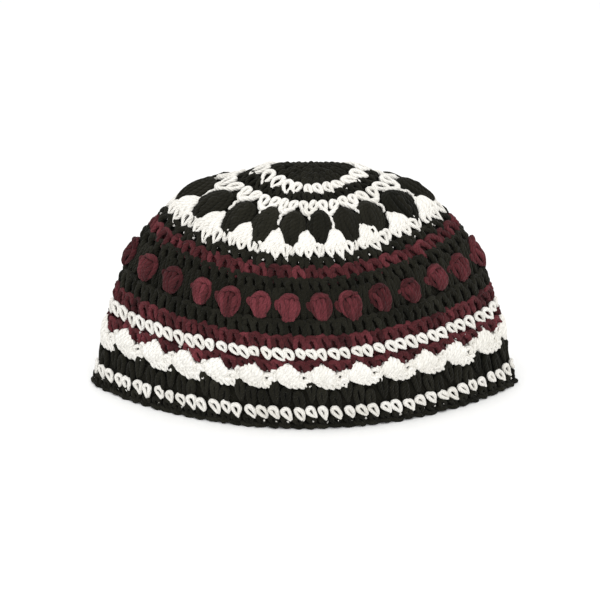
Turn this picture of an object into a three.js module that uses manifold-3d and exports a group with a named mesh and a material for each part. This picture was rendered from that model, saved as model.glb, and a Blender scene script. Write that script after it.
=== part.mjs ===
// A crocheted kippah: a deep soft dome, worked in rounds of black, white and maroon yarn from the middle
// of the crown down to the rim. It stands on its rim and keeps the soft fold that flat storage leaves at
// each side, so the rim is an almond in plan while the crown is rounder.
// Each round is a closed band with its own wall, and the bobbles sit in pockets of the black ground.
// Millimetres, +Z up. The origin is the middle of the rim, on the surface that the cap stands on.
// -Y is the front, and the folds are at +X and -X.
import * as THREE from "three";
import { mergeVertices } from "three/addons/utils/BufferGeometryUtils.js";
import Module from "manifold-3d";

// Driving dimensions
const rimHalfWidth = 107; // from the middle to the fold at either side
const rimHalfDepth = 61; // from the middle to the front or the back of the rim
const crownHeight = 114; // from the rim to the top of the crown
const foldSoftness = 0.35; // 0 is a knife-sharp fold, 1 is nearly an oval
const foldStretch = 0.8; // how much wider the stitches are pulled at the folds of the crown
const stretchLoss = 0.75; // how much of that is gone at the rim
const clearance = 0.3; // between a round and the next, and round a bobble
const petalCount = 18; // round the cap, with a white shell between each two
const humpCount = 26; // humps of the white wave round the cap
const bobbleCount = 26;
const bobbleWidth = 10.6;
const bobbleLength = 13.2;
const bobbleThickness = 5.6; // half of it stands out of the ground
const bobbleDown = 14.0; // from the upper edge of the ground to the bobbles' middles

// Facets
const plainSteps = 52; // round a plain band
const petalSteps = petalCount * 4; // round a band with a petal edge: two for each crest and each dip
const humpSteps = humpCount * 3; // round a band with a wave edge: two for each crest, one for each dip
const groundSteps = bobbleCount * 2; // round the bobbles' ground
const bobbleSides = 8;
const bobbleRings = 4;

// Yarns
const yarns = {
  black: { color: 0x1f1d1a, roughness: 0.95 },
  white: { color: 0xeceae2, roughness: 0.92 },
  maroon: { color: 0x5c1f2b, roughness: 0.94 },
};

// The form, as shares. along: of the way from the middle of the crown to the rim. rise: of crownHeight.
// width and depth: of the rim's two half sizes. ridge: how much higher the row is at the folds, of
// crownHeight. lean: how far it is carried towards +X, of rimHalfWidth. crease: 0 is an oval row, 1 a lens
// with folded ends.
const sections = [
  { along: 0.0, rise: 1.0, width: 0.0, depth: 0.0, ridge: 0.0, lean: 0.042, crease: 0.25 },
  { along: 0.118, rise: 0.953, width: 0.192, depth: 0.262, ridge: 0.041, lean: 0.037, crease: 0.25 },
  { along: 0.2015, rise: 0.909, width: 0.327, depth: 0.426, ridge: 0.046, lean: 0.023, crease: 0.29 },
  { along: 0.264, rise: 0.871, width: 0.43, depth: 0.541, ridge: 0.054, lean: 0.014, crease: 0.34 },
  { along: 0.351, rise: 0.791, width: 0.556, depth: 0.689, ridge: 0.078, lean: 0.007, crease: 0.42 },
  { along: 0.416, rise: 0.72, width: 0.641, depth: 0.787, ridge: 0.079, lean: 0.0, crease: 0.48 },
  { along: 0.492, rise: 0.64, width: 0.72, depth: 0.877, ridge: 0.077, lean: 0.0, crease: 0.54 },
  { along: 0.54, rise: 0.586, width: 0.764, depth: 0.918, ridge: 0.072, lean: 0.0, crease: 0.58 },
  { along: 0.625, rise: 0.477, width: 0.83, depth: 0.975, ridge: 0.057, lean: 0.0, crease: 0.63 },
  { along: 0.713, rise: 0.368, width: 0.881, depth: 1.013, ridge: 0.035, lean: 0.0, crease: 0.68 },
  { along: 0.801, rise: 0.267, width: 0.921, depth: 1.025, ridge: 0.011, lean: 0.0, crease: 0.72 },
  { along: 0.859, rise: 0.194, width: 0.941, depth: 1.025, ridge: 0.0, lean: 0.0, crease: 0.75 },
  { along: 0.926, rise: 0.101, width: 0.966, depth: 1.016, ridge: 0.0, lean: 0.0, crease: 0.78 },
  { along: 1.0, rise: 0.0, width: 1.0, depth: 1.0, ridge: 0.0, lean: 0.0, crease: 0.8 },
];

// The rounds, from the crown to the rim. tall: how much of the way down a round takes, in millimetres.
// wall: its thickness. swing: how far its lower edge rises and falls, repeats: how often round the cap,
// crest: where in a repeat it is highest, as a share.
const rounds = [
  { name: "crown_disc", yarn: "black", tall: 18.8, wall: 3.8 },
  { name: "crown_ring_white_inner", yarn: "white", tall: 7.2, wall: 3.8 },
  { name: "crown_ring_black", yarn: "black", tall: 6.0, wall: 3.8 },
  { name: "crown_ring_white_outer", yarn: "white", tall: 9.9, wall: 3.8 },
  { name: "petal_round_black", yarn: "black", tall: 13.8, wall: 5.0, swing: 4.0, repeats: petalCount },
  { name: "shell_round_white", yarn: "white", tall: 10.3, wall: 4.4 },
  { name: "band_black_upper", yarn: "black", tall: 4.8, wall: 3.8 },
  { name: "band_maroon_upper", yarn: "maroon", tall: 7.4, wall: 3.8 },
  { name: "bobble_ground_black", yarn: "black", tall: 29.3, wall: 4.6 },
  { name: "band_maroon_middle", yarn: "maroon", tall: 5.7, wall: 3.8 },
  { name: "band_white_upper", yarn: "white", tall: 7.8, wall: 3.8 },
  {
    name: "band_maroon_lower",
    yarn: "maroon",
    tall: 6.2,
    wall: 3.8,
    swing: 2.0,
    repeats: humpCount,
    crest: 0.5,
  },
  {
    name: "wave_round_white",
    yarn: "white",
    tall: 9.2,
    wall: 4.4,
    swing: 2.0,
    repeats: humpCount,
    crest: 0.5,
  },
  { name: "band_black_tall", yarn: "black", tall: 10.7, wall: 4.0 },
  { name: "band_white_lower", yarn: "white", tall: 6.3, wall: 3.8 },
  { name: "rim_black", yarn: "black", tall: 5.4, wall: 4.0 },
];
const workedLength = rounds.reduce((sum, round) => sum + round.tall, 0);

// The form's columns, carried past the middle of the crown by its mirror so that the top is smooth there.
const firstRow = sections[1];
const rows = [
  { ...firstRow, along: -firstRow.along, width: -firstRow.width, depth: -firstRow.depth },
  ...sections,
];

// One column of the form at a place along: a cubic between two rows, each with the slope of its neighbours.
function column(name, along) {
  let i = 1;
  while (i < rows.length - 2 && rows[i + 1].along < along) i += 1;
  const slope = (k) => {
    const before = rows[Math.max(k - 1, 0)];
    const after = rows[Math.min(k + 1, rows.length - 1)];
    return (after[name] - before[name]) / (after.along - before.along);
  };
  const span = rows[i + 1].along - rows[i].along;
  const t = (along - rows[i].along) / span;
  const rest = 1 - t;
  return (
    rows[i][name] * (1 + 2 * t) * rest * rest +
    rows[i + 1][name] * t * t * (3 - 2 * t) +
    span * (slope(i) * t * rest * rest - slope(i + 1) * t * t * rest)
  );
}

// A row's outline in plan at an angle from the front: an oval whose depth falls off sooner towards the
// folds by a power of its softened sine.
function outline(row, angle) {
  const across = Math.sin(angle);
  const forward = -Math.cos(angle);
  const softened = (forward * forward + foldSoftness ** 2) / (1 + foldSoftness ** 2);
  return {
    x: row.lean + row.halfWidth * across,
    y: row.halfDepth * forward * softened ** (row.crease / 2),
  };
}

function rowAt(along) {
  return {
    along,
    halfWidth: rimHalfWidth * column("width", along),
    halfDepth: rimHalfDepth * column("depth", along),
    z: crownHeight * column("rise", along),
    ridge: crownHeight * column("ridge", along),
    lean: rimHalfWidth * column("lean", along),
    crease: column("crease", along),
  };
}

// The angle at which a share of a row's stitches has been worked, counted from the front towards +X.
// The stitches are even round the row, apart from the stretch at the folds.
const quarterSamples = 96;
function angleAt(row, share) {
  const turns = Math.floor(share);
  const quarters = (share - turns) * 4;
  const whole = Math.floor(quarters);
  const odd = whole % 2 === 1;
  const wanted = odd ? 1 - (quarters - whole) : quarters - whole;
  const lengths = [0];
  let last = outline(row, 0);
  for (let k = 1; k <= quarterSamples; k += 1) {
    const angle = (Math.PI / 2) * (k / quarterSamples);
    const next = outline(row, angle);
    const stretch = 1 + foldStretch * (1 - stretchLoss * row.along) * Math.sin(angle) ** 2;
    lengths.push(lengths[k - 1] + Math.hypot(next.x - last.x, next.y - last.y) / stretch);
    last = next;
  }
  const target = wanted * lengths[quarterSamples];
  let k = 1;
  while (k < quarterSamples && lengths[k] < target) k += 1;
  const inQuarter = (k - 1 + (target - lengths[k - 1]) / (lengths[k] - lengths[k - 1])) / quarterSamples;
  return (Math.PI / 2) * (whole + (odd ? 1 - inQuarter : inQuarter)) + 2 * Math.PI * turns;
}

// A point of the cap's outer face, and its outward direction.
function onFace(along, angle) {
  const row = rowAt(along);
  const flat = outline(row, angle);
  return new THREE.Vector3(flat.x, flat.y, row.z + row.ridge * Math.sin(angle) ** 2);
}
function outward(along, angle) {
  const reach = 1e-3;
  const down = onFace(Math.min(along + reach, 1), angle).sub(onFace(along - reach, angle));
  const round = onFace(along, angle + reach).sub(onFace(along, angle - reach));
  return down.cross(round).normalize();
}

// A point in the wall: along the way down, a share of the way round, and a depth under the outer face.
function inWall(along, share, depth) {
  const angle = angleAt(rowAt(along), share);
  const point = onFace(along, angle);
  return point.addScaledVector(outward(along, angle), -depth);
}

// How far down an edge lies at a share of the way round: level, or in crests and dips as wide as each
// other, joined by straight slopes.
function edgeAt(edge, share) {
  const wave = Math.SQRT2 * Math.cos(2 * Math.PI * (edge.repeats * share - edge.crest));
  const rise = edge.swing * Math.min(Math.max(wave, -1), 1);
  return (edge.down - rise) / workedLength;
}

function meshOf(points, triangles) {
  const geometry = new THREE.BufferGeometry();
  const flat = points.flatMap((point) => [point.x, point.y, point.z]);
  geometry.setAttribute("position", new THREE.Float32BufferAttribute(flat, 3));
  geometry.setIndex(triangles);
  return geometry;
}

// A band between two edges: four corners of wall at each step, joined to the next step's. Both end faces
// are split along the same diagonal, so that they stay clear of the end faces next to them.
// The lowest band ends flat on the surface that the cap stands on.
function bandGeometry(upper, lower, wall, steps, firstStep) {
  const gap = clearance / 2 / workedLength;
  const onGround = lower.down >= workedLength;
  const points = [];
  for (let step = 0; step < steps; step += 1) {
    const share = (step + firstStep) / steps;
    const top = edgeAt(upper, share) + gap;
    const bottom = onGround ? 1 : edgeAt(lower, share) - gap;
    const corners = [
      inWall(top, share, 0),
      inWall(bottom, share, 0),
      inWall(bottom, share, wall),
      inWall(top, share, wall),
    ];
    if (onGround) {
      corners[1].z = 0;
      corners[2].z = 0;
    }
    points.push(...corners);
  }
  const triangles = [];
  for (let step = 0; step < steps; step += 1) {
    for (let corner = 0; corner < 4; corner += 1) {
      const a = step * 4 + corner;
      const b = step * 4 + ((corner + 1) % 4);
      const c = ((step + 1) % steps) * 4 + corner;
      const d = ((step + 1) % steps) * 4 + ((corner + 1) % 4);
      if (corner === 3) triangles.push(a, b, c, b, d, c);
      else triangles.push(a, b, d, a, d, c);
    }
  }
  return meshOf(points, triangles);
}

// The crown's disc: rings of points on the outer and inner face round a middle point of each.
function discGeometry(lower, wall, steps) {
  const gap = clearance / 2 / workedLength;
  const end = edgeAt(lower, 0) - gap;
  const ringAlongs = [0.5 * end, end];
  const depths = [0, wall];
  const points = depths.map((depth) => new THREE.Vector3(rowAt(0).lean, 0, crownHeight - depth));
  const at = (ring, face, step) => 2 + (ring * 2 + face) * steps + (step % steps);
  for (const along of ringAlongs) {
    for (const depth of depths) {
      for (let step = 0; step < steps; step += 1) points.push(inWall(along, step / steps, depth));
    }
  }
  const triangles = [];
  for (let step = 0; step < steps; step += 1) {
    const next = step + 1;
    triangles.push(0, at(0, 0, step), at(0, 0, next));
    triangles.push(1, at(0, 1, next), at(0, 1, step));
    triangles.push(at(0, 0, step), at(1, 0, step), at(1, 0, next));
    triangles.push(at(0, 0, step), at(1, 0, next), at(0, 0, next));
    triangles.push(at(0, 1, step), at(1, 1, next), at(1, 1, step));
    triangles.push(at(0, 1, step), at(0, 1, next), at(1, 1, next));
    triangles.push(at(1, 0, step), at(1, 1, step), at(1, 1, next));
    triangles.push(at(1, 0, step), at(1, 1, next), at(1, 0, next));
  }
  return meshOf(points, triangles);
}

// A bobble, long down the cap and flattened across the wall.
function bobbleGeometry() {
  const ball = new THREE.SphereGeometry(1, bobbleSides, bobbleRings);
  return ball.scale(bobbleWidth / 2, bobbleLength / 2, bobbleThickness / 2);
}

// The cutter of a bobble's pocket: the bobble's outline with its clearance, narrowing towards its floor.
const pocketNarrowing = 0.09; // share of the outline that is lost in each millimetre of depth
function pocketGeometry() {
  const depth = bobbleThickness / 2 + clearance;
  const outer = 1 + pocketNarrowing * depth;
  const inner = 1 - pocketNarrowing * depth;
  const cone = new THREE.CylinderGeometry(outer, inner, 2 * depth, 2 * bobbleRings);
  cone.rotateX(Math.PI / 2);
  return cone.scale(bobbleWidth / 2 + 1.2 * clearance, bobbleLength / 2 + 1.2 * clearance, 1);
}

// A bobble's place: x along the round, y up the cap, z out of the wall.
function bobblePlace(along, share) {
  const angle = angleAt(rowAt(along), share);
  const out = outward(along, angle);
  const reach = 1e-3;
  const round = onFace(along, angle + reach).sub(onFace(along, angle - reach)).normalize();
  const up = out.clone().cross(round);
  return new THREE.Matrix4().makeBasis(round, up, out).setPosition(onFace(along, angle));
}

const wasm = await Module();
wasm.setup();

function solidOf(geometry) {
  const bare = geometry.clone();
  bare.deleteAttribute("normal");
  bare.deleteAttribute("uv");
  const merged = mergeVertices(bare, 1e-4);
  const vertProperties = new Float32Array(merged.attributes.position.array);
  const triVerts = new Uint32Array(merged.index.array);
  return new wasm.Manifold(new wasm.Mesh({ numProp: 3, vertProperties, triVerts }));
}

function geometryOf(solid) {
  const mesh = solid.getMesh();
  const geometry = new THREE.BufferGeometry();
  geometry.setAttribute("position", new THREE.BufferAttribute(mesh.vertProperties, 3));
  geometry.setIndex(new THREE.BufferAttribute(mesh.triVerts, 1));
  return geometry;
}

const materials = Object.fromEntries(
  Object.entries(yarns).map(([name, look]) => [
    name,
    new THREE.MeshStandardMaterial({ ...look, metalness: 0 }),
  ]),
);

function addMesh(group, name, geometry, yarn) {
  const mesh = new THREE.Mesh(geometry, materials[yarn]);
  mesh.name = name;
  group.add(mesh);
  return mesh;
}

// The bobbles, and the cutters of their pockets.
function addBobbles(group, start) {
  const along = (start + bobbleDown) / workedLength;
  const pockets = [];
  for (let k = 0; k < bobbleCount; k += 1) {
    const place = bobblePlace(along, (k + 0.5) / bobbleCount);
    const name = `bobble_maroon_${String(k + 1).padStart(2, "0")}`;
    const bobble = addMesh(group, name, bobbleGeometry(), "maroon");
    place.decompose(bobble.position, bobble.quaternion, bobble.scale);
    pockets.push(solidOf(pocketGeometry().applyMatrix4(place)));
  }
  return pockets;
}

const cap = new THREE.Group();
let upper = { down: 0, swing: 0, repeats: 0, crest: 0 };
for (const round of rounds) {
  const lower = {
    down: upper.down + round.tall,
    swing: round.swing ?? 0,
    repeats: round.repeats ?? 0,
    crest: round.crest ?? 0,
  };
  const repeats = Math.max(upper.repeats, lower.repeats);
  let geometry;
  if (round.name === "crown_disc") {
    geometry = discGeometry(lower, round.wall, plainSteps);
  } else if (round.name === "bobble_ground_black") {
    const pockets = addBobbles(cap, upper.down);
    const band = solidOf(bandGeometry(upper, lower, round.wall, groundSteps, 0));
    geometry = geometryOf(pockets.reduce((left, pocket) => left.subtract(pocket), band));
  } else if (repeats === petalCount) {
    geometry = bandGeometry(upper, lower, round.wall, petalSteps, 0.5);
  } else if (repeats === humpCount) {
    geometry = bandGeometry(upper, lower, round.wall, humpSteps, 0);
  } else {
    geometry = bandGeometry(upper, lower, round.wall, plainSteps, 0);
  }
  addMesh(cap, round.name, geometry, round.yarn);
  upper = lower;
}

export default cap;
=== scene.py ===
import bpy
import numpy as np
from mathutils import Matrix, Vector


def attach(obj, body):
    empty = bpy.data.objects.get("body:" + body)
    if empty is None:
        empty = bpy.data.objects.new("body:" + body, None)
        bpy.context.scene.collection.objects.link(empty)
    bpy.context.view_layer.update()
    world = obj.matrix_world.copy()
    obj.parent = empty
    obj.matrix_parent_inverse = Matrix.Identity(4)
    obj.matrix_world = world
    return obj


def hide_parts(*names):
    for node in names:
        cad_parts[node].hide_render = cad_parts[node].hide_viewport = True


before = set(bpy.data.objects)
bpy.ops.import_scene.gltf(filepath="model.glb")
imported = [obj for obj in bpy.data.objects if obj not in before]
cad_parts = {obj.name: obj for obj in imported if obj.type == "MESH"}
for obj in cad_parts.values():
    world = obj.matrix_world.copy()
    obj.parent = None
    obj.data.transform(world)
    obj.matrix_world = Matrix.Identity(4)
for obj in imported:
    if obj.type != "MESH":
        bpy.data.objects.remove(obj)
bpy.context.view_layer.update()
print("frame loaded")

# The cap's own measures are in millimetres. "share" is a place round the cap, 0 to 1 from the front towards
# +X. "down" is a place from the middle of the crown, 0, to the rim. "height" is out of the crocheted wall.
form = {
    "rimHalfWidth": 107.0,
    "rimHalfDepth": 61.0,
    "crownHeight": 114.0,
    "foldSoftness": 0.35,  # 0 is a knife-sharp fold
    "foldStretch": 0.8,  # how much wider the stitches are pulled at the folds of the crown
    "stretchLoss": 0.75,  # how much of that is gone at the rim
    "poleGap": 0.3,  # nothing is placed nearer to the middle of the crown
    "directionGap": 0.6,  # and no direction is measured nearer to it than this
    "stepDown": 0.2,  # directions are measured over twice this
    "stepRound": 0.002,  # and round the cap over twice this, in radians
    "lowest": 0.02,  # nothing reaches under the surface that the cap stands on
}
# how often the motifs of the crown and of the lower half go round, and the plain stitches to each
repeats = {"petals": 18, "humps": 26, "stitchesEach": 3}
crownStitches = repeats["petals"] * repeats["stitchesEach"]
rimStitches = repeats["humps"] * repeats["stitchesEach"]
# the rounds from the crown to the rim, and how far down the cap each one reaches
roundsTall = {
    "crown_disc": 18.8, "ring_inner": 7.2, "ring_black": 6.0, "ring_outer": 9.9, "petals": 13.8,
    "shells": 10.3, "black_upper": 4.8, "maroon_upper": 7.4, "ground": 29.3, "maroon_middle": 5.7,
    "white_upper": 7.8, "maroon_lower": 6.2, "wave": 9.2, "black_tall": 10.7, "white_lower": 6.3,
    "rim": 5.4,
}
workedLength = sum(roundsTall.values())
roundEnds = dict(zip(roundsTall, np.cumsum(list(roundsTall.values()))))
roundTops = {name: roundEnds[name] - tall for name, tall in roundsTall.items()}
# columns: along, rise, width, depth, crease, ridge, lean, each a share of the measures above. A row is
# higher at its folds by the ridge, and is carried towards +X by the lean.
formRows = np.array([
    [0.0, 1.0, 0.0, 0.0, 0.25, 0.0, 0.042],
    [0.118, 0.953, 0.192, 0.262, 0.25, 0.041, 0.037],
    [0.2015, 0.909, 0.327, 0.426, 0.29, 0.046, 0.023],
    [0.264, 0.871, 0.43, 0.541, 0.34, 0.054, 0.014],
    [0.351, 0.791, 0.556, 0.689, 0.42, 0.078, 0.007],
    [0.416, 0.72, 0.641, 0.787, 0.48, 0.079, 0.0],
    [0.492, 0.64, 0.72, 0.877, 0.54, 0.077, 0.0],
    [0.54, 0.586, 0.764, 0.918, 0.58, 0.072, 0.0],
    [0.625, 0.477, 0.83, 0.975, 0.63, 0.057, 0.0],
    [0.713, 0.368, 0.881, 1.013, 0.68, 0.035, 0.0],
    [0.801, 0.267, 0.921, 1.025, 0.72, 0.011, 0.0],
    [0.859, 0.194, 0.941, 1.025, 0.75, 0.0, 0.0],
    [0.926, 0.101, 0.966, 1.016, 0.78, 0.0, 0.0],
    [1.0, 0.0, 1.0, 1.0, 0.8, 0.0, 0.0],
])
mirror = [-1, 1, -1, -1, 1, 1, 1]
formRows = np.vstack([formRows[1] * mirror, formRows])  # the crown's mirror keeps its top smooth
padded = np.vstack([formRows[0], formRows, formRows[-1]])
formSlopes = (padded[2:] - padded[:-2]) / (padded[2:, :1] - padded[:-2, :1])


# a row of the form: a cubic between two rows of the table, each with the slope of its neighbours
def formAt(down):
    along = np.asarray(down, float) / workedLength
    i = np.clip(np.searchsorted(formRows[:, 0], along) - 1, 0, len(formRows) - 2)
    low, high = formRows[i], formRows[i + 1]
    span = high[..., :1] - low[..., :1]
    t = (along[..., None] - low[..., :1]) / span
    rest = 1 - t
    return (low * (1 + 2 * t) * rest ** 2 + high * t ** 2 * (3 - 2 * t)
            + span * (formSlopes[i] * t * rest ** 2 - formSlopes[i + 1] * t ** 2 * rest))


# a point of the outer face: an oval whose depth falls off sooner towards the folds by a power of its sine
def facePoint(down, angle):
    row = formAt(down)
    forward = -np.cos(angle)
    soft = form["foldSoftness"] ** 2
    fall = ((forward ** 2 + soft) / (1 + soft)) ** (row[..., 4] / 2)
    x = form["rimHalfWidth"] * (row[..., 6] + row[..., 2] * np.sin(angle))
    y = form["rimHalfDepth"] * row[..., 3] * forward * fall
    z = form["crownHeight"] * (row[..., 1] + row[..., 5] * np.sin(angle) ** 2)
    return np.stack([x, y, z], axis=-1)


# even shares of a row's length, by angle, for a table of rows and one quarter turn
tableDowns = np.linspace(0.5, workedLength, 340)
quarterAngles = np.linspace(0, np.pi / 2, 129)
quarterPoints = facePoint(tableDowns[:, None], quarterAngles[None, :])
quarterSteps = np.linalg.norm(np.diff(quarterPoints[..., :2], axis=1), axis=2)
rowStretch = form["foldStretch"] * (1 - form["stretchLoss"] * tableDowns[:, None] / workedLength)
quarterSteps /= 1 + rowStretch * np.sin(quarterAngles[1:]) ** 2
quarterLengths = np.cumsum(np.pad(quarterSteps, ((0, 0), (1, 0))), axis=1)
evenShares = np.linspace(0, 1, len(quarterAngles))
shareAngles = np.array([np.interp(evenShares, row / row[-1], quarterAngles) for row in quarterLengths])


# the length that a row would have with its stitches all as wide as the front ones: four quarters
def rowLength(down):
    return 4 * np.interp(down, tableDowns, quarterLengths[:, -1])


# the angle of a share of the way round: the table, read between its rows and columns and mirrored by quarter
def angleAt(down, share):
    turns = np.floor(share)
    quarters = (share - turns) * 4
    whole = np.minimum(np.floor(quarters), 3)
    odd = whole % 2 == 1
    part = np.where(odd, 1 - (quarters - whole), quarters - whole) * (len(evenShares) - 1)
    row = (down - tableDowns[0]) / (tableDowns[1] - tableDowns[0])
    row = np.clip(row, 0, len(tableDowns) - 1.001)
    part = np.clip(part, 0, len(evenShares) - 1.001)
    r, c = row.astype(int), part.astype(int)
    fr, fc = row - r, part - c
    angle = ((1 - fr) * ((1 - fc) * shareAngles[r, c] + fc * shareAngles[r, c + 1])
             + fr * ((1 - fc) * shareAngles[r + 1, c] + fc * shareAngles[r + 1, c + 1]))
    angle = angle / (np.pi / 2)
    return np.pi / 2 * (whole + np.where(odd, 1 - angle, angle)) + 2 * np.pi * turns


# points of the outer face and their outward directions: the cross product of a step down and a step round
def capFace(down, share):
    down, share = np.broadcast_arrays(np.clip(down, form["poleGap"], workedLength), share)
    angle = angleAt(down, share)
    point = facePoint(down, angle)
    inner = np.maximum(down, form["directionGap"])
    stepDown = facePoint(inner + form["stepDown"], angle) - facePoint(inner - form["stepDown"], angle)
    stepRound = facePoint(inner, angle + form["stepRound"]) - facePoint(inner, angle - form["stepRound"])
    out = np.cross(stepDown, stepRound)
    return point, out / np.linalg.norm(out, axis=-1, keepdims=True)


# an sRGB hex colour as linear numbers: the sRGB curve, undone
def linear(hexColor):
    srgb = np.array([int(hexColor[i:i + 2], 16) for i in (1, 3, 5)]) / 255
    color = np.where(srgb <= 0.04045, srgb / 12.92, ((srgb + 0.055) / 1.055) ** 2.4)
    return (*color.tolist(), 1.0)


# one shader node with its settings, its inputs' values and the outputs that feed its inputs
def addNode(tree, kind, values=None, links=None, **settings):
    node = tree.nodes.new(kind)
    for key, value in settings.items():
        setattr(node, key, value)
    for socket, value in (values or {}).items():
        node.inputs[socket].default_value = value
    for socket, source in (links or {}).items():
        tree.links.new(source, node.inputs[socket])
    return node


# Spun yarn of four plies, crocheted. Each ply shows as a slanting ridge, loose fibres make it matt and
# give it a soft paler edge, and no two lengths of it are quite the same shade.
yarnLook = {
    "plyRidges": 4,
    "plyLength": 9.0,  # mm of yarn for one turn of a ply
    "ridgeHeight": 0.14,  # mm
    "fibreClumps": 14.0,  # in one turn of a ply, 0.64 mm apart: real fibres are too fine to show
    "fibreHeight": 0.22,  # mm
    "patchWeight": 0.55,  # of the patches in a place's shade, besides its strand's own tone
    "shadePlaces": (0.1, 0.5, 1.0),  # of the dark, middle and light shade on that scale
}


# a yarn: its shade from patches and tone, darkened by painted shade in the grooves, sin of turns along it
# plus turns round it, and by painted shade between the fibres, a noise drawn out along the plies
def makeYarn(name, look):
    material = bpy.data.materials.new(name)
    material.use_nodes = True
    tree = material.node_tree
    tree.nodes.clear()
    uv = addNode(tree, "ShaderNodeUVMap", uv_map="yarn")  # x: mm along the strand, y: share of the way round
    split = addNode(tree, "ShaderNodeSeparateXYZ", links={0: uv.outputs[0]})
    turns = addNode(tree, "ShaderNodeMath", {1: 1 / yarnLook["plyLength"]}, {0: split.outputs[0]},
                    operation="MULTIPLY")
    twist = addNode(tree, "ShaderNodeMath", {1: 1.0}, {0: split.outputs[1], 2: turns.outputs[0]},
                    operation="MULTIPLY_ADD")
    wave = addNode(tree, "ShaderNodeMath", {1: 2 * np.pi * yarnLook["plyRidges"]}, {0: twist.outputs[0]},
                   operation="MULTIPLY")
    ridge = addNode(tree, "ShaderNodeMath", None, {0: wave.outputs[0]}, operation="SINE")
    stretched = addNode(tree, "ShaderNodeCombineXYZ", None, {0: turns.outputs[0], 1: twist.outputs[0]})
    fibres = addNode(tree, "ShaderNodeTexNoise",
                     {"Scale": yarnLook["fibreClumps"], "Detail": 4.0, "Roughness": 0.6},
                     {"Vector": stretched.outputs[0]})
    place = addNode(tree, "ShaderNodeTexCoord")
    patches = addNode(tree, "ShaderNodeTexNoise", {"Scale": 1000 / look["patchSize"], "Detail": 3.0},
                      {"Vector": place.outputs["Object"]})
    tone = addNode(tree, "ShaderNodeAttribute", attribute_name="tone")
    mixed = addNode(tree, "ShaderNodeMath", {1: yarnLook["patchWeight"]},
                    {0: patches.outputs["Fac"], 2: tone.outputs["Fac"]}, operation="MULTIPLY_ADD")
    shades = addNode(tree, "ShaderNodeValToRGB", None, {0: mixed.outputs[0]})
    dark, middle, light = yarnLook["shadePlaces"]
    ramp = shades.color_ramp.elements
    ramp[0].position, ramp[0].color = dark, linear(look["shades"][0])
    ramp[1].position, ramp[1].color = light, linear(look["shades"][2])
    ramp.new(middle).color = linear(look["shades"][1])
    # painted shade: the yarn's colour is darker in the grooves between the plies, where the ridge's sine is
    # low
    paintedGrooveNode = addNode(tree, "ShaderNodeMapRange", {1: -1.0, 2: 0.3, 3: look["paintedGrooveShade"], 4: 1.0},
                     {0: ridge.outputs[0]})
    # painted shade: the colour is darker where the fibre noise is low, in the hollows between the clumps of
    # fibres
    paintedFibreShade = addNode(tree, "ShaderNodeMapRange", {1: 0.3, 2: 0.7, 3: look["paintedFibreShade"], 4: 1.0},
                         {0: fibres.outputs["Fac"]})
    # the painted shade of the grooves and of the places between the fibres together, which darkens the yarn's
    # colour
    paintedShade = addNode(tree, "ShaderNodeMath", None, {0: paintedGrooveNode.outputs[0], 1: paintedFibreShade.outputs[0]},
                    operation="MULTIPLY")
    color = addNode(tree, "ShaderNodeMix", {"Factor": 1.0}, {6: shades.outputs[0], 7: paintedShade.outputs[0]},
                    data_type="RGBA", blend_type="MULTIPLY")
    plies = addNode(tree, "ShaderNodeBump", {"Strength": 1.0, "Distance": yarnLook["ridgeHeight"] * 0.001},
                    {"Height": ridge.outputs[0]})
    hairs = addNode(tree, "ShaderNodeBump", {"Strength": 1.0, "Distance": yarnLook["fibreHeight"] * 0.001},
                    {"Height": fibres.outputs["Fac"], "Normal": plies.outputs[0]})
    shader = addNode(tree, "ShaderNodeBsdfPrincipled",
                     {"Roughness": look["roughness"], "Sheen Weight": look["sheen"],
                      "Sheen Roughness": 0.5, "Specular IOR Level": look["gloss"]},
                     {"Base Color": color.outputs[2], "Normal": hairs.outputs[0]})
    addNode(tree, "ShaderNodeOutputMaterial", None, {"Surface": shader.outputs[0]})
    return material


# Black yarn: a warm black that keeps a trace of olive where light falls on it, darkened like the others by
# painted shade in its grooves and between its fibres. Patch sizes are in mm.
blackYarn = makeYarn("spunYarnBlack", {
    "shades": ("#15150f", "#1f1e17", "#2b2a22"), "patchSize": 16.7, "paintedGrooveShade": 0.85,
    "paintedFibreShade": 0.7, "roughness": 0.95, "sheen": 0.03, "gloss": 0.08})
# White yarn: bleached, a hair off white, and so bright that the painted shade in its grooves and between its
# fibres is only pale grey
whiteYarn = makeYarn("spunYarnWhite", {
    "shades": ("#ebe8df", "#f7f4ed", "#fdfbf5"), "patchSize": 16.7, "paintedGrooveShade": 0.87,
    "paintedFibreShade": 0.86, "roughness": 0.9, "sheen": 0.05, "gloss": 0.1})
# Maroon yarn: dyed unevenly, from a brownish to a pinker red, darkened by painted shade in its grooves and
# between its fibres
maroonYarn = makeYarn("spunYarnMaroon", {
    "shades": ("#301517", "#532629", "#823e45"), "patchSize": 4.35, "paintedGrooveShade": 0.8,
    "paintedFibreShade": 0.72, "roughness": 0.92, "sheen": 0.04, "gloss": 0.08})
black, white, maroon = "black_yarn", "white_yarn", "maroon_yarn"
yarnOf = {black: blackYarn, white: whiteYarn, maroon: maroonYarn}
print("yarns made")

rng = np.random.default_rng(5784)

# what a loop of yarn is where a piece says nothing else, in mm, and how all loops bend
plainLoop = {
    "point": 1.0,  # more makes the tip more pointed
    "lean": 0.0, "across": 0.0, "down": 0.0,
    "sink": -1.0,  # height of the tip
    "lift": 0.5,  # height of the top
    "taper": 0.35,  # share of the radius that is gone at the tip
    "samples": 24,
}
loopBend = {
    "leanPower": 1.5,
    "liftPower": 0.7,
    "crossing": 0.25,  # mm by which one end lies over the other
}


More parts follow.
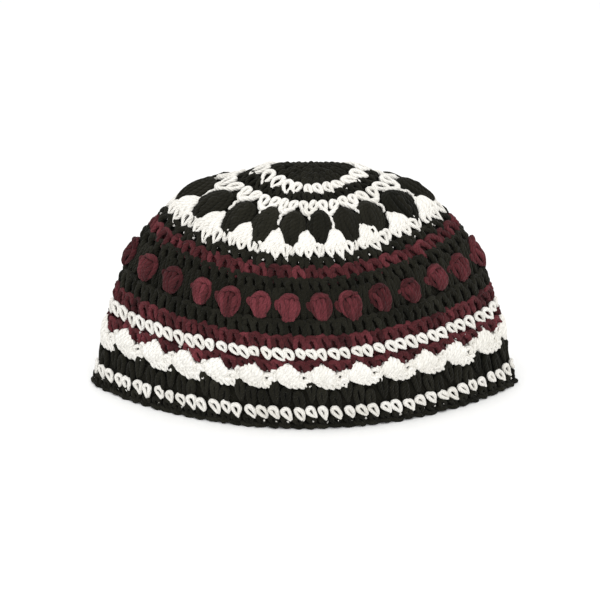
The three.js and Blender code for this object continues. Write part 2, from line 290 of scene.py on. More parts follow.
# a loop of yarn that starts and ends at its tip, in mm across, down and out: across is sin(turn) times a
# power of sin(turn / 2), down is half the length times 1 + cos(turn), the lean carries the tip sideways,
# and the height climbs from the tip, sunk in the wall, to the top
def teardrop(shape):
    shape = {**plainLoop, **shape}
    turn = np.linspace(0, 2 * np.pi, shape["samples"])
    half = np.abs(np.sin(turn / 2))
    tip = (1 + np.cos(turn)) / 2
    across = np.sin(turn) * half ** shape["point"]
    across *= shape["width"] / 2 / np.abs(across).max()
    across = across + shape["lean"] * tip ** loopBend["leanPower"] + shape["across"]
    down = shape["length"] * tip + shape["down"]
    height = shape["sink"] + (shape["lift"] - shape["sink"]) * half ** loopBend["liftPower"]
    height = height + loopBend["crossing"] * turn / (2 * np.pi)
    radius = shape["radius"] * (1 - shape["taper"] * tip ** 2)
    return np.stack([across, down, height, radius], axis=1)


# a strand through points of a table with columns across, down, height, radius: a Catmull-Rom curve, the
# cubic through each pair of points with the slopes of their neighbours
def throughPoints(table, samples=20):
    table = np.asarray(table, float)
    place = np.linspace(0, len(table) - 1, samples)
    i = np.minimum(place.astype(int), len(table) - 2)
    t = (place - i)[:, None]
    ends = np.vstack([2 * table[0] - table[1], table, 2 * table[-1] - table[-2]])
    a, b, c, d = ends[i], ends[i + 1], ends[i + 2], ends[i + 3]
    return b + 0.5 * t * (c - a + t * (2 * a - 5 * b + 4 * c - d + t * (3 * (b - c) + d - a)))


# a post of a cluster: the strand through its places, across and down, with a height and a radius for each
def post(places, heights, radii):
    return throughPoints(np.column_stack([places, heights, radii]))


# a single crochet in a round that is all of one colour: shares of its width and length, heights in mm, and
# shares of its radius, at four points of each leg and of the slanting bar across their tops
crochet = {
    "legs": [[(-0.1, 0.05), (-0.3, 0.33), (-0.26, 0.7), (-0.1, 1.0)],
             [(0.14, 0.02), (0.38, 0.3), (0.42, 0.68), (0.24, 0.97)]],
    "legHeights": (0.5, 0.9, 0.6, -0.6),
    "legRadii": (0.9, 1.0, 0.95, 0.7),
    "bar": [(-0.55, 0.2), (-0.2, 0.02), (0.25, -0.02), (0.62, 0.16)],
    "barHeights": (-0.3, 0.8, 0.9, -0.2),
    "barRadii": (0.7, 0.85, 0.85, 0.7),
    "samples": 12,
}


# its three strands: the shares times the stitch's own sizes, with the legs carried sideways by the lean
def singleCrochet(shape):
    parts = [(leg, crochet["legHeights"], crochet["legRadii"], shape["lean"]) for leg in crochet["legs"]]
    parts.append((crochet["bar"], crochet["barHeights"], crochet["barRadii"], 0.0))
    strands = []
    for places, heights, radii, lean in parts:
        x, y = np.array(places).T
        table = np.stack([x * shape["width"] + lean * y, y * shape["length"], heights,
                          shape["radius"] * np.array(radii)], axis=1)
        strands.append(throughPoints(table, crochet["samples"]))
    return strands


# how hand work varies: spreads of each repeat's place, size, turn and height, for a looseness of 1, and of
# its shade
handWork = {
    "shift": 0.16,  # mm
    "size": 0.035,
    "turn": 3.5,  # degrees
    "lift": 0.12,  # mm
    "tone": 0.25, "toneSpread": 0.13, "mostTone": 0.6,
    "strandToneSpread": 0.08,
    "pitchAt": 3.0,  # mm below its top at which a round's stitches are set out evenly
}


# a motif's strands, set once for each repeat of a round, each repeat a little off in place, turn and size
def workRound(strands, count, top, phase=0.5, loose=1.0, rise=np.zeros(1)):
    pitch = rowLength(top + handWork["pitchAt"]) / count
    shift = rng.normal(0, handWork["shift"] * loose, (count, 2))
    size = 1 + rng.normal(0, handWork["size"] * loose, count)[:, None]
    turn = np.radians(rng.normal(0, handWork["turn"] * loose, count))[:, None]
    lift = rng.normal(0, handWork["lift"] * loose, count)[:, None]
    tone = np.clip(rng.normal(handWork["tone"], handWork["toneSpread"], count), 0, handWork["mostTone"])
    worked = []
    for strand in strands:
        across, down, height, radius = strand.T
        x = size * (across * np.cos(turn) - down * np.sin(turn))
        y = size * (across * np.sin(turn) + down * np.cos(turn))
        share = (np.arange(count)[:, None] + phase + (x + shift[:, :1]) / pitch) / count
        path = np.stack([share, top + y + shift[:, 1:] + rise[:, None], height + lift], axis=2)
        strandTone = tone + rng.normal(0, handWork["strandToneSpread"], count)
        worked.append((path, np.broadcast_to(radius, share.shape), strandTone))
    return worked


# how a strand's tube is made, and how it differs from its table
strandLook = {
    "sides": 8,
    "sink": 0.5,  # mm deeper in the wall
    "wander": 0.2,  # mm to and fro along the strand
    "swell": 0.1,  # share of its radius
    "waves": (0.8, 3.0),  # fewest and most swings along a strand
}


# one slow wave for each strand: the sine of a random count of turns from a random start
def slowWaves(count, points, axes):
    turns = rng.uniform(*strandLook["waves"], (count, 1, axes))
    start = rng.uniform(0, 2 * np.pi, (count, 1, axes))
    return np.sin(2 * np.pi * turns * np.linspace(0, 1, points)[:, None] + start)


# strands as closed tubes: rings of points square to each path, joined into quads, with a fan at each end
def tubes(path, radius, tone):
    count, points = radius.shape
    sides = strandLook["sides"]
    radius = radius * (1 + strandLook["swell"] * slowWaves(count, points, 1)[..., 0])
    face, out = capFace(path[..., 1], path[..., 0])
    centre = face + out * (path[..., 2:] - strandLook["sink"])
    centre = centre + strandLook["wander"] * slowWaves(count, points, 3)
    along = np.gradient(centre, axis=1)
    length = np.linalg.norm(np.diff(centre, axis=1), axis=2)
    length = np.cumsum(np.pad(length, ((0, 0), (1, 0))), axis=1)
    length = length + rng.uniform(0, yarnLook["plyLength"], (count, 1))  # plies start anywhere in their turn
    along /= np.linalg.norm(along, axis=2, keepdims=True)
    side = np.cross(along, out)
    side /= np.maximum(np.linalg.norm(side, axis=2, keepdims=True), 1e-6)
    over = np.cross(side, along)
    angle = np.arange(sides)[:, None] * 2 * np.pi / sides
    ring = side[:, :, None] * np.cos(angle) + over[:, :, None] * np.sin(angle)
    rings = centre[:, :, None] + ring * radius[..., None, None]
    vertices = np.concatenate([rings.reshape(count, -1, 3), centre[:, :1], centre[:, -1:]], axis=1)
    block = points * sides + 2
    start = np.arange(count)[:, None, None] * block
    i = np.arange(points - 1)[:, None] * sides
    j = np.arange(sides)
    k = (j + 1) % sides
    quads = np.stack([i + j, i + sides + j, i + sides + k, i + k], axis=-1).reshape(1, -1, 4) + start
    last = (points - 1) * sides
    firstFan = np.stack([np.full(sides, block - 2), j, k], axis=-1)
    lastFan = np.stack([np.full(sides, block - 1), last + k, last + j], axis=-1)
    fans = np.concatenate([firstFan, lastFan])[None] + start
    row = np.repeat(np.arange(points - 1)[:, None], sides, axis=1)
    u = np.stack([length[:, row], length[:, row + 1], length[:, row + 1], length[:, row]], axis=-1)
    v = np.stack([j, j, j + 1, j + 1], axis=-1) / sides
    quadUv = np.stack([u, np.broadcast_to(v, u.shape)], axis=-1)
    fanUv = np.zeros((count, 2 * sides, 3, 2)) + length[:, :1, None, None] * [1, 0]
    return {"vertices": vertices.reshape(-1, 3), "quads": quads.reshape(-1, 4), "fans": fans.reshape(-1, 3),
            "quadUv": quadUv.reshape(-1, 4, 2), "fanUv": fanUv.reshape(-1, 3, 2),
            "tones": np.repeat(tone, block)}


# one mesh from vertices in mm, quads and triangles with their UVs, and a tone for each vertex
def makeMesh(name, parts):
    mesh = bpy.data.meshes.new(name)
    vertices = parts["vertices"].copy()
    vertices[:, 2] = np.maximum(vertices[:, 2], form["lowest"])
    quads, fans = parts["quads"], parts["fans"]
    mesh.vertices.add(len(vertices))
    mesh.vertices.foreach_set("co", (vertices * 0.001).astype(np.float32).ravel())
    loops = np.concatenate([quads.ravel(), fans.ravel()]).astype(np.int32)
    mesh.loops.add(len(loops))
    mesh.loops.foreach_set("vertex_index", loops)
    starts = np.concatenate([np.arange(len(quads)) * 4, len(quads) * 4 + np.arange(len(fans)) * 3])
    mesh.polygons.add(len(starts))
    mesh.polygons.foreach_set("loop_start", starts.astype(np.int32))
    mesh.update(calc_edges=True)
    uv = np.concatenate([parts["quadUv"].ravel(), parts["fanUv"].ravel()]).astype(np.float32)
    mesh.uv_layers.new(name="yarn").data.foreach_set("uv", uv)
    tone = mesh.attributes.new("tone", "FLOAT", "POINT")
    tone.data.foreach_set("value", parts["tones"].astype(np.float32))
    mesh.shade_smooth()
    return mesh


# the mesh as a piece of the cap, with its yarns, hung on the root body, with the solids that it stands for
# hidden
def addPiece(mesh, yarns, nodes):
    piece = bpy.data.objects.new(mesh.name, mesh)
    bpy.context.scene.collection.objects.link(piece)
    for yarn in yarns:
        mesh.materials.append(yarn)
    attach(piece, "root")
    if nodes:
        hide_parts(*nodes)


# a piece from the strands of its rounds: their tubes one after the other, each counting on from the last
def yarnPiece(name, worked, slot, *nodes):
    strands = [tubes(*strand) for strand in worked]
    starts = np.cumsum([0] + [len(strand["vertices"]) for strand in strands[:-1]])
    for strand, start in zip(strands, starts):
        strand["quads"] = strand["quads"] + start
        strand["fans"] = strand["fans"] + start
    joined = {key: np.concatenate([strand[key] for strand in strands]) for key in strands[0]}
    addPiece(makeMesh(name, joined), [yarnOf[slot]], nodes)
    print(name, 2 * len(joined["quads"]) + len(joined["fans"]), "triangles")


# the edges that wave, by the round above them: mm up and down, how often, and the share of a repeat at
# which the edge is highest
waves = {
    "petals": {"swing": 4.0, "count": repeats["petals"], "crest": 0.0},
    "maroon_lower": {"swing": 2.0, "count": repeats["humps"], "crest": 0.5},
    "wave": {"swing": 2.0, "count": repeats["humps"], "crest": 0.5},
}


# a round's lower edge: its place down the cap less a cosine that is cut off flat at its crests
def lowerEdge(name, share):
    if name is None:  # the middle of the crown
        return 0 * share
    if name not in waves:
        return roundEnds[name] + 0 * share
    edge = waves[name]
    wave = np.sqrt(2) * np.cos(2 * np.pi * (edge["count"] * share - edge["crest"]))
    return roundEnds[name] - edge["swing"] * np.clip(wave, -1, 1)


# the wall under the strands, in mm: heights of its faces, and of the bumps that the backs of stitches make
wallLook = {"columns": 312, "stepsEach": 5, "outer": -1.3, "inner": -3.1, "bump": 0.75, "tone": 0.2}
# each round's rows and stitches, its yarn inside, and the yarn of its outer face between the strands; under
# the white rounds that face is black or maroon, painted shade in the holes between the stitches, partly the
# dark yarn of the rounds beside them
walls = {
    "crown_disc": {"rows": 4, "stitches": 24, "inside": black, "gapsYarnAndPaintedShade": black},
    "ring_inner": {"rows": 1, "stitches": 26, "inside": white, "gapsYarnAndPaintedShade": black},
    "ring_black": {"rows": 1, "stitches": 40, "inside": black, "gapsYarnAndPaintedShade": black},
    "ring_outer": {"rows": 1, "stitches": 52, "inside": white, "gapsYarnAndPaintedShade": black},
    "petals": {"rows": 2, "stitches": crownStitches, "inside": black, "gapsYarnAndPaintedShade": black},
    "shells": {"rows": 2, "stitches": crownStitches, "inside": white, "gapsYarnAndPaintedShade": black},
    "black_upper": {"rows": 1, "stitches": crownStitches, "inside": black, "gapsYarnAndPaintedShade": black},
    "maroon_upper": {"rows": 1, "stitches": crownStitches, "inside": maroon, "gapsYarnAndPaintedShade": maroon},
    "ground": {"rows": 5, "stitches": rimStitches, "inside": black, "gapsYarnAndPaintedShade": black},
    "maroon_middle": {"rows": 1, "stitches": rimStitches, "inside": maroon, "gapsYarnAndPaintedShade": maroon},
    "white_upper": {"rows": 1, "stitches": rimStitches, "inside": white, "gapsYarnAndPaintedShade": maroon},
    "maroon_lower": {"rows": 1, "stitches": rimStitches, "inside": maroon, "gapsYarnAndPaintedShade": maroon},
    "wave": {"rows": 2, "stitches": rimStitches, "inside": white, "gapsYarnAndPaintedShade": black},
    "black_tall": {"rows": 2, "stitches": rimStitches, "inside": black, "gapsYarnAndPaintedShade": black},
    "white_lower": {"rows": 1, "stitches": rimStitches, "inside": white, "gapsYarnAndPaintedShade": black},
    "rim": {"rows": 2, "stitches": rimStitches, "inside": black, "gapsYarnAndPaintedShade": black},
}


# a closed band of wall between two rounds' edges: the outer face lies under the strands, and the inner
# face carries the backs of the stitches, bumps of the square root of |sin| both round and down
def wallPiece(name, above):
    wall = walls[name]
    columns = wallLook["columns"]
    share = np.arange(columns) / columns
    steps = np.linspace(0, 1, wall["rows"] * wallLook["stepsEach"] + 1)
    fromEdge, toEdge = lowerEdge(above, share), lowerEdge(name, share)
    down = fromEdge + (toEdge - fromEdge) * steps[:, None]
    bumps = np.sqrt(np.abs(np.sin(np.pi * wall["stitches"] * share)))
    bumps = bumps * np.sqrt(np.abs(np.sin(np.pi * wall["rows"] * steps)))[:, None]
    outer = np.full_like(down, wallLook["outer"])
    inner = wallLook["inner"] - wallLook["bump"] * bumps
    down = np.concatenate([down, down[::-1]])
    height = np.concatenate([outer, inner[::-1]])
    face, out = capFace(down, share)
    vertices = (face + out * height[..., None]).reshape(-1, 3)
    rows = len(down)
    closedAtTop = above is None
    i = np.arange(rows - 1 if closedAtTop else rows)[:, None] * columns
    j = np.arange(columns)
    k = (j + 1) % columns
    below = (i + columns) % (rows * columns)
    quads = np.stack([i + j, below + j, below + k, i + k], axis=-1).reshape(-1, 4)
    fans = np.zeros((0, 3), int)
    if closedAtTop:
        top = facePoint(np.zeros(1), np.zeros(1))[0]
        poles = top + np.array([[0, 0, height[0, 0]], [0, 0, height[-1, 0]]])
        last = (rows - 1) * columns
        fans = np.concatenate([
            np.stack([np.full(columns, len(vertices)), j, k], axis=-1),
            np.stack([np.full(columns, len(vertices) + 1), last + k, last + j], axis=-1)])
        vertices = np.concatenate([vertices, poles])
    corner = vertices[quads]
    quadUv = np.stack([corner[..., 0] + corner[..., 1], corner[..., 2] * 0.1], axis=-1)
    mesh = makeMesh("wall_" + name, {
        "vertices": vertices, "quads": quads, "fans": fans, "quadUv": quadUv,
        "fanUv": np.zeros((len(fans), 3, 2)), "tones": np.full(len(vertices), wallLook["tone"])})
    # the outer face between the strands gets the gap yarn, which under white rounds is dark as painted shade
    # in the holes
    addPiece(mesh, [yarnOf[wall["inside"]], yarnOf[wall["gapsYarnAndPaintedShade"]]], ())
    gapsYarnAndPaintedShade = np.zeros(len(mesh.polygons), np.int32)
    gapsYarnAndPaintedShade[:(len(steps) - 1) * columns] = 1
    mesh.polygons.foreach_set("material_index", gapsYarnAndPaintedShade)


for name, above in zip(walls, [None, *walls]):
    wallPiece(name, above)
print("wall made")

# In the pieces below, "top" is mm below the upper edge of the round. Tables of points hold mm across, down,
# height and radius.

# black crown: rounds of plump stitches that grow by six in each, round a knot
crownDisc = {
    "tops": [1.0, 5.4, 9.8, 14.0],
    "counts": [6, 12, 18, 24],
    "gap": 1.9,
    "loop": {"length": 5.6, "lean": 0.8, "radius": 1.25},
    "knotCount": 3,
    "knotTop": 0.4,
    "knot": {"width": 1.6, "length": 2.0, "radius": 1.2},
}
worked = []
for top, count in zip(crownDisc["tops"], crownDisc["counts"]):
    width = rowLength(top + handWork["pitchAt"]) / count - crownDisc["gap"]
    worked += workRound([teardrop({**crownDisc["loop"], "width": width})], count, top)
worked += workRound([teardrop(crownDisc["knot"])], crownDisc["knotCount"], crownDisc["knotTop"])
yarnPiece("yarn_crown_disc", worked, black, "crown_disc")

# inner white ring: single loops with a tail at the lower right
ringInner = {"count": 22, "top": 0.6, "loose": 1.6, "width": 3.0, "length": 7.6, "lean": 2.2, "lift": 1.0,
             "sink": 0.5, "radius": 1.25, "taper": 0.4, "point": 1.3}
worked = workRound([teardrop(ringInner)], ringInner["count"], roundTops["ring_inner"] + ringInner["top"],
                   loose=ringInner["loose"])
yarnPiece("yarn_crown_ring_inner", worked, white, "crown_ring_white_inner")

# black round between the white rings
ringBlack = {"count": 40, "top": -0.4, "width": 2.8, "length": 6.2, "lean": 1.2, "lift": 0.3, "radius": 1.2}
worked = workRound([teardrop(ringBlack)], ringBlack["count"], roundTops["ring_black"] + ringBlack["top"])
yarnPiece("yarn_crown_ring_black", worked, black, "crown_ring_black")

# outer white ring: loops in pairs, joined underneath in a V, with a thin strand down to the shell below
ringOuter = {
    "top": 0.9,
    "loose": 1.3,
    "leftLoop": {"width": 2.8, "length": 6.8, "across": -2.7, "lean": 1.2, "lift": 0.9, "sink": 0.3,
                 "radius": 1.2, "point": 1.1},
    "rightLoop": {"width": 2.8, "length": 6.4, "across": 2.7, "lean": -1.0, "lift": 0.9, "sink": 0.3,
                  "radius": 1.2, "point": 1.1},
    "join": [[-3.2, 4.4, 0.4, 1.1], [-2.0, 7.0, 1.0, 1.4], [0.0, 8.8, 1.1, 1.5], [2.0, 6.8, 1.0, 1.4],
             [3.2, 4.2, 0.4, 1.1]],
    "thread": [[-0.2, 9.0, 0.4, 1.0], [-0.2, 11.0, 1.2, 0.8], [0.2, 14.0, 1.6, 0.7], [0.1, 17.0, 1.0, 0.8]],
}
strands = [teardrop(ringOuter["leftLoop"]), teardrop(ringOuter["rightLoop"]),
           throughPoints(ringOuter["join"]), throughPoints(ringOuter["thread"], 14)]
worked = workRound(strands, repeats["petals"], roundTops["ring_outer"] + ringOuter["top"], phase=0.0,
                   loose=ringOuter["loose"])
yarnPiece("yarn_crown_ring_outer", worked, white, "crown_ring_white_outer")

# black petals: puffed clusters, each a nest of loops that meet in a point below
petals = {
    "top": -0.6,
    "nest": [
        {"width": 8.8, "length": 19.5, "lift": 0.6, "sink": -0.4, "radius": 1.65, "point": 0.25},
        {"width": 6.2, "length": 18.2, "lift": 1.7, "sink": 0.4, "radius": 1.65, "down": 0.8, "point": 0.25},
        {"width": 3.2, "length": 16.4, "lift": 2.3, "sink": 1.0, "radius": 1.7, "down": 2.0, "point": 0.25},
    ],
    "middle": [[0.0, 3.0, 1.6, 1.6], [0.1, 7.0, 2.6, 1.8], [0.1, 12.0, 2.2, 1.7], [0.0, 16.0, 0.8, 1.2]],
}
strands = [teardrop(loop) for loop in petals["nest"]] + [throughPoints(petals["middle"])]
worked = workRound(strands, repeats["petals"], roundTops["petals"] + petals["top"])
yarnPiece("yarn_petals", worked, black, "petal_round_black")

# white shells: posts that fan down from one point to loops with tails, and an ear at the left
shells = {
    "top": -4.9,
    "loose": 0.9,
    "feet": [-3.4, -1.15, 1.15, 3.4],
    "fan": [(0.15, 0.0), (0.5, 3.6), (0.85, 8.0), (1.0, 11.6)],  # a post's share of its foot's place, down
    "postHeights": (-0.3, 1.2, 1.5, 0.6),
    "postRadii": (1.1, 1.6, 1.7, 1.2),
    "tails": [(-3.2, 8.4), (0.8, 9.4), (4.6, 8.45)],  # across, down
    "tail": {"width": 2.5, "length": 6.8, "lean": 1.3, "lift": 1.5, "sink": 0.6, "radius": 1.15,
             "taper": 0.6, "point": 2.0},
    "ear": {"width": 1.8, "length": 5.6, "across": -6.3, "lean": 0.4, "lift": 0.9, "radius": 1.0,
            "down": 8.2, "point": 1.5},
}
strands = [post([(part * foot, down) for part, down in shells["fan"]], shells["postHeights"],
                shells["postRadii"]) for foot in shells["feet"]]
strands += [teardrop({**shells["tail"], "across": across, "down": down}) for across, down in shells["tails"]]
strands.append(teardrop(shells["ear"]))
worked = workRound(strands, repeats["petals"], roundTops["shells"] + shells["top"], phase=0.0,
                   loose=shells["loose"])
yarnPiece("yarn_shells", worked, white, "shell_round_white")

# small white dots: the yarn of a white round, showing again between the stitches of the next
dots = {
    "dot": {"width": 0.3, "length": 0.7, "lift": 0.6, "sink": 0.3, "radius": 0.42, "taper": 0.2,
            "samples": 8},
    "loose": 2.2,
    "rounds": [("black_upper", crownStitches, 1.4, 0.54), ("maroon_lower", rimStitches, 0.8, 0.82),
               ("rim", rimStitches, 0.8, 0.82)],  # the round, how many, top, share of a repeat
}
worked = []
for name, count, top, phase in dots["rounds"]:
    worked += workRound([teardrop(dots["dot"])], count, roundTops[name] + top, phase=phase,
                        loose=dots["loose"])
yarnPiece("yarn_white_dots", worked, white)

# plain rounds of single crochet: in white each stitch shows as a loop with its tail at the lower right
whiteStitch = {"width": 3.4, "length": 5.7, "lean": 2.6, "lift": 1.2, "sink": 1.0, "radius": 1.14,
               "taper": 0.4, "point": 1.1}
plainRounds = {
    "black_upper": {"yarn": black, "count": crownStitches, "top": -0.2, "width": 5.8, "length": 6.6,
                    "lean": 0.8, "radius": 1.35},
    "maroon_upper": {"yarn": maroon, "count": crownStitches, "top": 0.4, "width": 5.8, "length": 8.0,
                     "lean": 1.4, "radius": 1.4},
    "maroon_middle": {"yarn": maroon, "count": rimStitches, "top": -0.4, "width": 5.6, "length": 7.0,
                      "lean": 1.4, "radius": 1.35},
    "white_upper": {"yarn": white, "count": rimStitches, "top": 1.2, **whiteStitch},
    "maroon_lower": {"yarn": maroon, "count": rimStitches, "top": 0.3, "width": 5.6, "length": 6.2,
                     "lean": 1.4, "radius": 1.35, "reach": 1.5},  # lower between the humps of the wave
    "white_lower": {"yarn": white, "count": rimStitches, "top": 0.2, **whiteStitch},
}
plainLooseness = 1.8
for name, plain in plainRounds.items():
    inHump = (np.arange(plain["count"]) + 0.5) / repeats["stitchesEach"]
    reach = plain.get("reach", 0.0) * np.cos(2 * np.pi * inHump)
    strands = [teardrop(plain)] if plain["yarn"] == white else singleCrochet(plain)
    worked = workRound(strands, plain["count"], roundTops[name] + plain["top"], rise=reach,
                       loose=plainLooseness)
    yarnPiece("yarn_" + name, worked, plain["yarn"], "band_" + name)

# black ground of the bobbles: a round of stitches above and below, and tall posts between the bobbles
bobbleGround = {
    "upper": {"top": -0.6, "width": 5.4, "length": 7.6, "lean": 1.0, "radius": 1.35},
    "lower": {"top": 20.6, "width": 5.4, "length": 9.6, "lean": 1.0, "radius": 1.35},
    "postTop": 5.0,
    "posts": [(-3.2, 0.2), (0.0, 0.3), (3.2, 0.2)],  # across, lift
    "post": {"width": 1.9, "length": 17.0, "lean": 0.3, "radius": 1.25},
}
groundTop = roundTops["ground"]
worked = []
for row in (bobbleGround["upper"], bobbleGround["lower"]):
    worked += workRound(singleCrochet(row), rimStitches, groundTop + row["top"])
strands = [teardrop({**bobbleGround["post"], "across": across, "lift": lift})
           for across, lift in bobbleGround["posts"]]
worked += workRound(strands, repeats["humps"], groundTop + bobbleGround["postTop"], phase=0.0)
yarnPiece("yarn_bobble_ground", worked, black, "bobble_ground_black")

# maroon bobbles: a bundle of posts, wide at the top and gathered at the foot, in an open loop and under a
# slanting one, with an ear at the left
bobbles = {
    "top": 7.4,
    "loose": 2.2,
    "loop": {"width": 7.6, "length": 11.6, "lift": 1.2, "sink": 0.2, "radius": 1.4, "down": 0.3,
             "point": 0.45, "lean": 0.4},
    "posts": [(-2.4, 2.4, -1.5, 11.6), (-0.6, 1.6, -0.4, 12.4), (1.3, 1.8, 0.9, 12.2),
              (2.9, 2.8, 2.0, 11.6)],  # head across and down, foot across and down
    "bend": 1.6,  # mm from a post's ends to where it bends
    "belly": (0.1, 6.8),  # how far right of its middle a post is at its highest, and how far down
    "postHeights": (0.8, 2.6, 3.3, 2.1, 0.4),
    "postRadii": (1.1, 1.3, 1.35, 1.3, 1.1),
    "topLoop": [[-3.9, 3.4, 0.6, 1.0], [-1.9, 1.3, 2.4, 1.2], [1.0, 0.4, 2.8, 1.25], [3.6, 1.8, 1.2, 1.1]],
    "ear": {"width": 1.4, "length": 4.6, "across": -5.2, "lean": 1.6, "lift": 0.8, "radius": 1.05,
            "down": 3.4},
}
strands = [teardrop(bobbles["loop"])]
for head, high, foot, low in bobbles["posts"]:
    right, belly = bobbles["belly"]
    strands.append(post([(head, high), (head, high + bobbles["bend"]), (0.5 * (head + foot) + right, belly),
                         (foot, low - bobbles["bend"]), (foot, low)],
                        bobbles["postHeights"], bobbles["postRadii"]))
strands += [throughPoints(bobbles["topLoop"], 14), teardrop(bobbles["ear"])]
worked = workRound(strands, repeats["humps"], groundTop + bobbles["top"], loose=bobbles["loose"])
bobbleNodes = [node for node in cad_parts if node.startswith("bobble_maroon")]
yarnPiece("yarn_bobbles", worked, maroon, *bobbleNodes)

# white wave: a puffed hump of posts on a chain, with an ear before it and an open loop after it
wave = {
    "top": -3.6,
    "loose": 0.7,
    "posts": [(-3.4, 8.6, -3.9, 3.8), (-1.9, 10.0, -2.4, 1.9), (-0.2, 11.0, -0.5, 0.8),
              (1.6, 11.4, 1.4, 1.3), (3.4, 11.6, 3.2, 2.8), (4.8, 11.6, 4.5, 5.0)],  # foot, then head
    "knee": (-0.2, 8.4),  # how far a post leans out above its foot, and how far down it does
    "waist": 5.4,  # mm down to halfway between foot and head
    "curl": (0.7, 0.2, 0.6),  # the end of a post: a share of the head's place, mm right and mm above it
    "postHeights": (0.2, 1.3, 1.9, 1.3, -0.3),
    "postRadii": (1.3, 1.6, 1.6, 1.5, 1.2),
    # the stitches of the lower edge, shorter where the black below rises to a point: across, down
    "chain": [(-7.4, 7.8), (-4.8, 5.6), (-2.2, 8.0), (0.6, 9.8), (3.4, 10.3), (6.2, 10.3), (9.0, 9.9)],
    "chainLoop": {"width": 2.3, "length": 3.2, "lean": 1.0, "lift": 1.1, "sink": 0.6, "radius": 1.25,
                  "samples": 18},
    "ear": {"width": 1.9, "length": 4.6, "across": -6.6, "lean": 1.0, "lift": 0.9, "radius": 1.1,
            "down": 3.2},
    "openLoop": {"width": 3.7, "length": 3.6, "across": 8.0, "lift": 0.9, "sink": 0.4, "radius": 1.15,
                 "down": 5.9, "point": 0.3, "samples": 18},
    "threads": [
        [[4.4, 6.0, 0.4, 1.0], [5.2, 8.0, 0.8, 1.1], [5.6, 10.0, 0.6, 1.1]],
        [[10.6, 5.6, 0.2, 1.0], [10.9, 8.0, 0.8, 1.1], [10.4, 10.0, 0.6, 1.1]],
        [[4.8, 3.4, -0.4, 0.5], [6.6, 4.4, -0.5, 0.45], [9.0, 4.6, -0.5, 0.45], [12.0, 4.2, -0.4, 0.5]],
        [[5.0, 4.8, -0.3, 0.5], [7.2, 5.2, -0.5, 0.45], [9.4, 5.4, -0.5, 0.45], [12.0, 5.2, -0.4, 0.5]],
    ],
}
strands = []
for foot, low, head, high in wave["posts"]:
    lean, knee = wave["knee"]
    part, right, over = wave["curl"]
    strands.append(post([(foot, low), (foot + lean, knee), (0.5 * (foot + head), wave["waist"]),
                         (head, high), (part * head + right, high - over)],
                        wave["postHeights"], wave["postRadii"]))
strands += [teardrop({**wave["chainLoop"], "across": across, "down": down}) for across, down in wave["chain"]]
strands += [teardrop(wave["ear"]), teardrop(wave["openLoop"])]
strands += [throughPoints(thread, 12) for thread in wave["threads"]]
worked = workRound(strands, repeats["humps"], roundTops["wave"] + wave["top"], loose=wave["loose"])
yarnPiece("yarn_wave", worked, white, "wave_round_white")

# tall black stitches, rising to a point before each hump: less a cosine of the place from hump to hump
tallBlack = {"top": 0.4, "width": 2.8, "length": 11.6, "lean": 1.0, "lift": 0.8, "radius": 1.45,
             "samples": 30, "pointRise": 3.4, "pointPlace": 0.27}
sinceHump = (np.arange(rimStitches) + 0.5) / repeats["stitchesEach"] - 0.5
underWave = -tallBlack["pointRise"] * np.cos(2 * np.pi * (sinceHump + tallBlack["pointPlace"]))
worked = workRound([teardrop(tallBlack)], rimStitches, roundTops["black_tall"] + tallBlack["top"],
                   rise=underWave)
yarnPiece("yarn_black_tall", worked, black, "band_black_tall")

# rim: a black round and an edge of short slanting loops
rim = {
    "stitch": {"top": -0.6, "width": 3.1, "length": 4.2, "lean": 1.3, "radius": 1.2},
    "edgeTop": -1.8,
    "edge": [[-3.8, 5.2, -1.0, 1.0], [-1.6, 5.6, 0.6, 1.15], [1.0, 6.2, 0.7, 1.2], [3.4, 5.8, -0.6, 1.0]],
}
worked = workRound([teardrop(rim["stitch"])], rimStitches, roundTops["rim"] + rim["stitch"]["top"])
worked += workRound([throughPoints(rim["edge"], 14)], rimStitches, roundTops["rim"] + rim["edgeTop"])
yarnPiece("yarn_rim", worked, black, "rim_black")
print("rounds made")

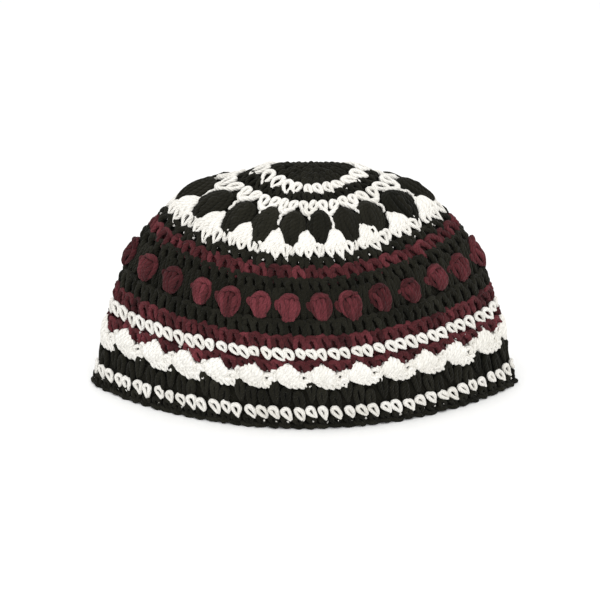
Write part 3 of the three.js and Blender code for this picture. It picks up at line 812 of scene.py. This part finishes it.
# a pale floor and a white world, in metres, lit softly from overhead and from the front right
studio = {
    "floorHalf": 6.0,
    "floorColor": "#f7f7f6",
    "floorRoughness": 0.9,
    "worldStrength": 1.0,
    "lamps": {
        "overhead": {"place": (-0.25, -0.35, 1.1), "aim": (0, 0, 0.05), "size": 0.9, "power": 3.5},
        "front": {"place": (0.5, -1.3, 0.75), "aim": (0, 0, 0.06), "size": 0.8, "power": 5.0},
    },
}
half = studio["floorHalf"]
floorMesh = bpy.data.meshes.new("floor")
floorMesh.from_pydata([(-half, -half, 0), (half, -half, 0), (half, half, 0), (-half, half, 0)], [],
                      [(0, 1, 2, 3)])
floor = bpy.data.objects.new("floor", floorMesh)
bpy.context.scene.collection.objects.link(floor)
floorPaint = bpy.data.materials.new("paleFloor")
floorPaint.use_nodes = True
floorShader = floorPaint.node_tree.nodes["Principled BSDF"]
floorShader.inputs["Base Color"].default_value = linear(studio["floorColor"])
floorShader.inputs["Roughness"].default_value = studio["floorRoughness"]
floorMesh.materials.append(floorPaint)

world = bpy.data.worlds.new("paleStudio")
world.use_nodes = True
world.node_tree.nodes["Background"].inputs["Color"].default_value = (1.0, 1.0, 1.0, 1.0)
world.node_tree.nodes["Background"].inputs["Strength"].default_value = studio["worldStrength"]
bpy.context.scene.world = world

for name, lamp in studio["lamps"].items():
    light = bpy.data.lights.new(name, "AREA")
    light.shape = "DISK"
    light.size = lamp["size"]
    light.energy = lamp["power"]
    lampObject = bpy.data.objects.new(name, light)
    bpy.context.scene.collection.objects.link(lampObject)
    lampObject.location = lamp["place"]
    gaze = Vector(lamp["aim"]) - Vector(lamp["place"])
    lampObject.rotation_euler = gaze.to_track_quat("-Z", "Y").to_euler()

# the photograph's angle: the camera stands back from its aim by the distance, raised by the elevation
view = {"aim": (-0.002, 0.0, 0.044), "elevation": 20.0, "distance": 1.25, "lens": 150.0, "sensor": 36.0}
camera = bpy.data.cameras.new("camera")
camera.lens = view["lens"]
camera.sensor_width = view["sensor"]
cameraObject = bpy.data.objects.new("camera", camera)
bpy.context.scene.collection.objects.link(cameraObject)
elevation = np.radians(view["elevation"])
aim = Vector(view["aim"])
cameraObject.location = aim + view["distance"] * Vector((0, -np.cos(elevation), np.sin(elevation)))
cameraObject.rotation_euler = (aim - cameraObject.location).to_track_quat("-Z", "Y").to_euler()
bpy.context.scene.camera = cameraObject
bpy.context.scene.view_settings.view_transform = "Standard"
print("stage set")
